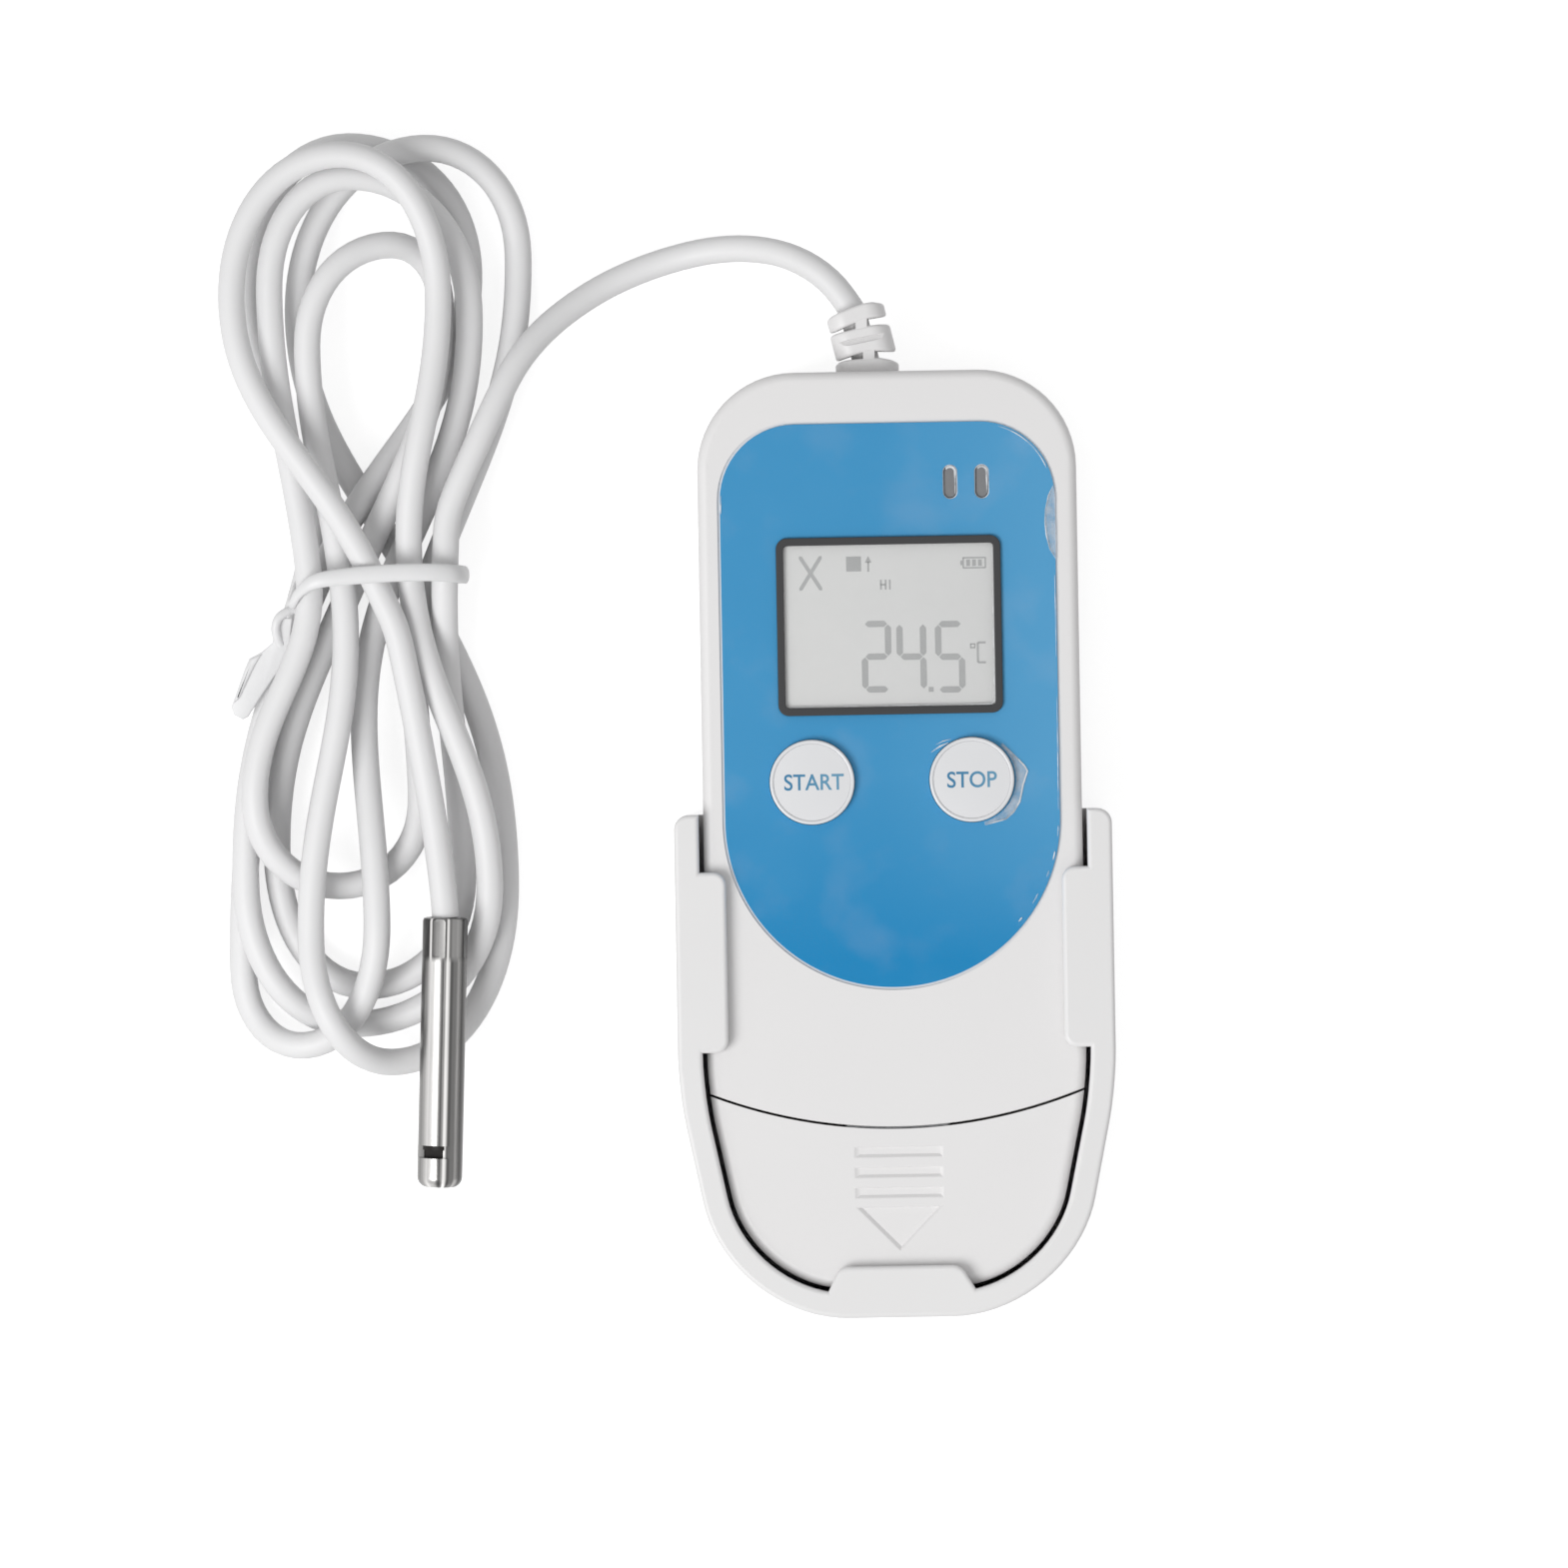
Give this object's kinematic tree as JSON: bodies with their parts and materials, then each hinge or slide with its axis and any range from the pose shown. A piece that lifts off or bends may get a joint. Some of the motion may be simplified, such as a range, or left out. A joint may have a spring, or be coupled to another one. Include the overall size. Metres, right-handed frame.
{
  "type": "temperature data logger",
  "caption": "Slim handheld temperature logger with a display and push buttons in a wall bracket, with a capped USB plug and a steel probe on a tied hank of cable.",
  "frame": {"origin": "centre of the logger and bracket in plan, on the plane of the bracket's back", "axes": "+X right across the display, +Y along the body towards the cable, +Z out of the front face"},
  "size_m": [0.0981, 0.1324, 0.0181],
  "materials": {
    "white_plastic": "satin moulded, warm-neutral white",
    "bracket_plastic": "satin moulded white, slightly translucent edges",
    "button_plastic": "translucent white with blue lettering",
    "label_blue": "printed label, fine grey edge",
    "clear_film": "thin clear film, slightly hazy and lifting",
    "clear_window": "clear plastic pane",
    "frame_grey": "dark grey",
    "lcd_grey": "light grey display glass, darker segments",
    "reflector_silver": "silver reflector sheet",
    "light_grey": "frosted light guide",
    "seal_rubber": "soft grey rubber",
    "zebra_rubber": "layered conductive rubber",
    "black_plastic": "black",
    "board_green": "green solder mask",
    "chip_ceramic": "ceramic",
    "led_yellow": "moulded lens",
    "steel": "bright drawn stainless steel",
    "plated_steel": "nickel plated",
    "contact_gold": "gold plated",
    "wire_red": "coloured insulation",
    "cable_white": "matt white jacket",
    "tie_white": "white coated strip",
    "filling_resin": "potting resin"
  },
  "bodies": {
    "logger": {"front_shell": "white_plastic", "back_shell": "white_plastic", "housing_gasket": "seal_rubber", "housing_screws": "plated_steel", "front_label": "label_blue", "protective_film": "clear_film", "lcd_frame": "frame_grey", "lcd_window": "clear_window", "lcd_glass": "lcd_grey", "lcd_reflector": "reflector_silver", "lcd_carrier": "white_plastic", "zebra_strips": "zebra_rubber", "circuit_board": "board_green", "control_chip": "black_plastic", "memory_chip": "black_plastic", "clock_crystal": "plated_steel", "chip_capacitors": "chip_ceramic", "indicator_leds": "led_yellow", "light_guides": "light_grey", "switch_bodies": "black_plastic", "coin_cell": "plated_steel", "battery_holder": "black_plastic", "battery_contact": "contact_gold", "battery_spring": "plated_steel", "usb_shell": "plated_steel", "usb_tongue": "white_plastic", "usb_contacts": "contact_gold", "wire_socket": "white_plastic", "signal_wires": "wire_red", "cable_gland": "white_plastic", "cable_lead": "cable_white", "cable_hank": "cable_white", "cable_tie": "tie_white", "cable_tail": "cable_white", "probe_tube": "steel", "probe_bead": "black_plastic", "probe_filling": "filling_resin"},
    "bracket": {"wall_bracket": "bracket_plastic"},
    "cap": {"usb_cap": "white_plastic", "cap_liner": "white_plastic"},
    "start": {"start_button": "button_plastic", "start_plunger": "black_plastic"},
    "stop": {"stop_button": "button_plastic", "stop_plunger": "black_plastic"},
    "door": {"battery_door": "white_plastic", "door_seal": "seal_rubber"}
  },
  "joints": [
    {"name": "bracket_slide", "type": "slide", "parent": "logger", "child": "bracket", "axis": [0, -1, 0], "range_m": [0, 0.058]},
    {"name": "cap_slide", "type": "slide", "parent": "logger", "child": "cap", "axis": [0, -1, 0], "range_m": [0, 0.021]},
    {"name": "start_press", "type": "slide", "parent": "logger", "child": "start", "axis": [0, 0, -1], "range_m": [0, 0.0005], "stiffness_N_per_m": 800, "springref_m": -0.0005},
    {"name": "stop_press", "type": "slide", "parent": "logger", "child": "stop", "axis": [0, 0, -1], "range_m": [0, 0.0005], "stiffness_N_per_m": 800, "springref_m": -0.0005},
    {"name": "door_turn", "type": "hinge", "parent": "logger", "child": "door", "pos_m": [0, 0.0205, 0.003], "axis": [0, 0, 1], "range_deg": [0, 45]}
  ],
  "couplings": [
    {"joint": "cap_slide", "follows": "bracket_slide", "ratio": 0.36}
  ]
}
